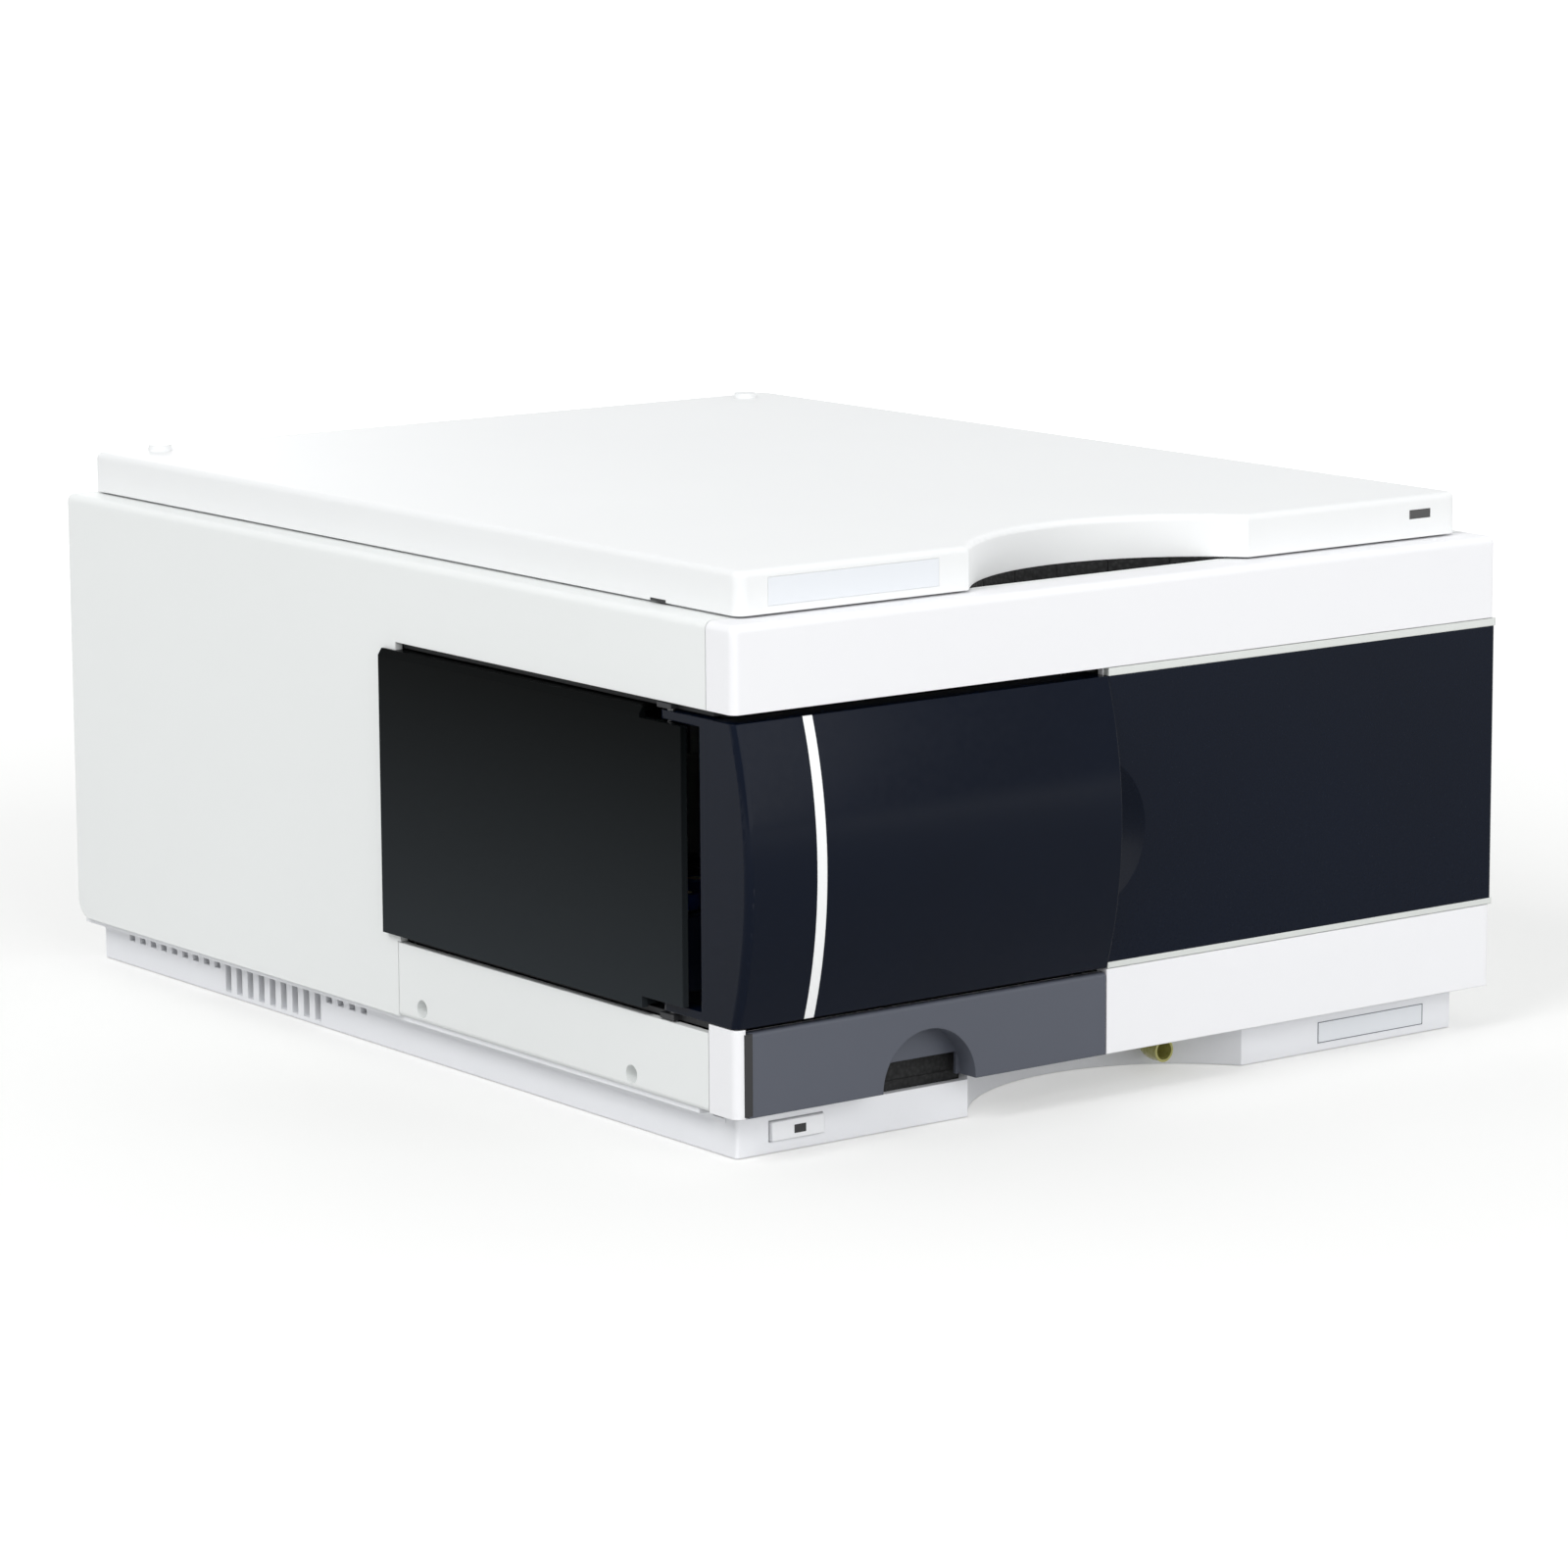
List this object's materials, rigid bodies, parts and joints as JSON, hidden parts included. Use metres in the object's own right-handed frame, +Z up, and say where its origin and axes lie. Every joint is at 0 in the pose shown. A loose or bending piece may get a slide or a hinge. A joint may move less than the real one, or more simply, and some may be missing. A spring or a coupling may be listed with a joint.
{
  "type": "autosampler",
  "caption": "Stackable laboratory autosampler module with a hinged front door, a side door, vial rack, gripper transport and sampling unit.",
  "frame": {"origin": "on the table, under the middle of the white housing", "axes": "+X to the right seen from the front, front faces -Y, +Z up"},
  "size_m": [0.3478, 0.4455, 0.2023],
  "materials": {
    "base": "fine grain",
    "feet": "matt",
    "foam": "moulded foam",
    "button": "satin",
    "tubing": "gloss",
    "cover": "fine grain",
    "front_white": "fine grain",
    "grey_panel": "fine grain",
    "dark_panel": "satin",
    "strips": "satin silver",
    "lid": "fine grain",
    "plate": "satin",
    "lens": "milky",
    "tray": "satin",
    "sheet": "zinc plated",
    "leak_parts": "satin",
    "smoked": "smoked, polished",
    "stripe": "satin",
    "pins": "ground",
    "rack": "satin",
    "vial_glass": "clear",
    "caps": "satin",
    "anodised": "anodised",
    "steel": "polished",
    "motor": "satin black",
    "pulley": "turned",
    "belt": "matt",
    "dark_plastic": "satin",
    "seat": "satin",
    "board": "solder mask"
  },
  "bodies": {
    "housing": {"base_tray": "base", "rubber_feet": "feet", "lower_foam": "foam", "drain_tube": "tubing", "main_cover": "cover", "lower_side_panel": "cover", "front_cover": "front_white", "lower_front_panel": "grey_panel", "right_front_panel": "dark_panel", "trim_strips": "strips", "lid": "lid", "name_plate": "plate", "status_lens": "lens", "tray_base": "tray", "ceiling_plate": "tray", "partition": "sheet", "upper_foam": "foam", "leak_tray": "leak_parts", "leak_funnel": "leak_parts", "hinge_pins": "pins", "vial_rack": "rack", "vials": "vial_glass", "vial_caps": "caps", "transport_frame": "anodised", "x_rails": "steel", "x_motor": "motor", "x_belt": "belt", "sampling_frame": "sheet", "needle_guide_rods": "steel", "needle_drive": "motor", "needle_seat": "seat", "metering_drive": "motor", "metering_head": "steel", "valve_drive": "motor", "valve_head": "steel", "capillaries": "steel", "main_board": "board", "power_supply": "sheet", "fan_frame": "dark_plastic", "rear_panel": "sheet", "power_inlet": "dark_plastic", "interface_card": "board", "data_sockets": "sheet"},
    "front_door": {"front_door": "smoked", "door_stripe": "stripe"},
    "side_door": {"side_door": "smoked"},
    "power_button": {"power_button": "button"},
    "x_carriage": {"x_carriage": "anodised", "z_motor": "motor"},
    "z_arm": {"z_arm": "anodised"},
    "gripper_head": {"gripper_head": "dark_plastic"},
    "left_jaw": {"left_jaw": "dark_plastic"},
    "right_jaw": {"right_jaw": "dark_plastic"},
    "drive_pulley": {"drive_pulley": "pulley"},
    "idler_pulley": {"idler_pulley": "pulley"},
    "needle_arm": {"needle_arm": "dark_plastic", "needle": "steel"},
    "metering_plunger": {"metering_plunger": "steel"},
    "valve_rotor": {"valve_rotor": "seat"},
    "fan_rotor": {"fan_rotor": "dark_plastic"}
  },
  "joints": [
    {"name": "front_door_hinge", "type": "hinge", "parent": "housing", "child": "front_door", "pos_m": [-0.169, -0.178, 0.1], "axis": [0, 0, 1], "range_deg": [-90, 0]},
    {"name": "side_door_hinge", "type": "hinge", "parent": "housing", "child": "side_door", "pos_m": [-0.169, -0.178, 0.1], "axis": [0, 0, 1], "range_deg": [0, 35]},
    {"name": "power_button_press", "type": "slide", "parent": "housing", "child": "power_button", "axis": [0, 1, 0], "range_m": [0, 0.0025], "stiffness_N_per_m": 400, "springref_m": -0.002},
    {"name": "transport_x", "type": "slide", "parent": "housing", "child": "x_carriage", "axis": [1, 0, 0], "range_m": [-0.052, 0.038]},
    {"name": "arm_z", "type": "slide", "parent": "x_carriage", "child": "z_arm", "axis": [0, 0, 1], "range_m": [-0.02, 0]},
    {"name": "gripper_turn", "type": "hinge", "parent": "z_arm", "child": "gripper_head", "pos_m": [-0.046, -0.108, 0.13], "axis": [0, 0, 1], "range_deg": [-135, 135]},
    {"name": "left_jaw_close", "type": "slide", "parent": "gripper_head", "child": "left_jaw", "axis": [1, 0, 0], "range_m": [0, 0.0016]},
    {"name": "right_jaw_close", "type": "slide", "parent": "gripper_head", "child": "right_jaw", "axis": [-1, 0, 0], "range_m": [0, 0.0016]},
    {"name": "drive_pulley_turn", "type": "hinge", "parent": "housing", "child": "drive_pulley", "pos_m": [0.05, -0.02, 0.128], "axis": [0, 1, 0], "range_deg": [-300, 400]},
    {"name": "idler_pulley_turn", "type": "hinge", "parent": "housing", "child": "idler_pulley", "pos_m": [-0.15, -0.02, 0.128], "axis": [0, 1, 0], "range_deg": [-300, 400]},
    {"name": "needle_lift", "type": "slide", "parent": "housing", "child": "needle_arm", "axis": [0, 0, 1], "range_m": [0, 0.028]},
    {"name": "plunger_stroke", "type": "slide", "parent": "housing", "child": "metering_plunger", "axis": [0, -1, 0], "range_m": [0, 0.01]},
    {"name": "valve_turn", "type": "hinge", "parent": "housing", "child": "valve_rotor", "pos_m": [0.142, -0.103, 0.105], "axis": [0, 1, 0], "range_deg": [0, 60]},
    {"name": "fan_spin", "type": "hinge", "parent": "housing", "child": "fan_rotor", "pos_m": [-0.105, 0.2, 0.11], "axis": [0, 1, 0], "continuous": true}
  ],
  "couplings": [
    {"joint": "right_jaw_close", "follows": "left_jaw_close", "ratio": 1},
    {"joint": "drive_pulley_turn", "follows": "transport_x", "rad_per_m": -131.58},
    {"joint": "idler_pulley_turn", "follows": "transport_x", "rad_per_m": -131.58}
  ]
}
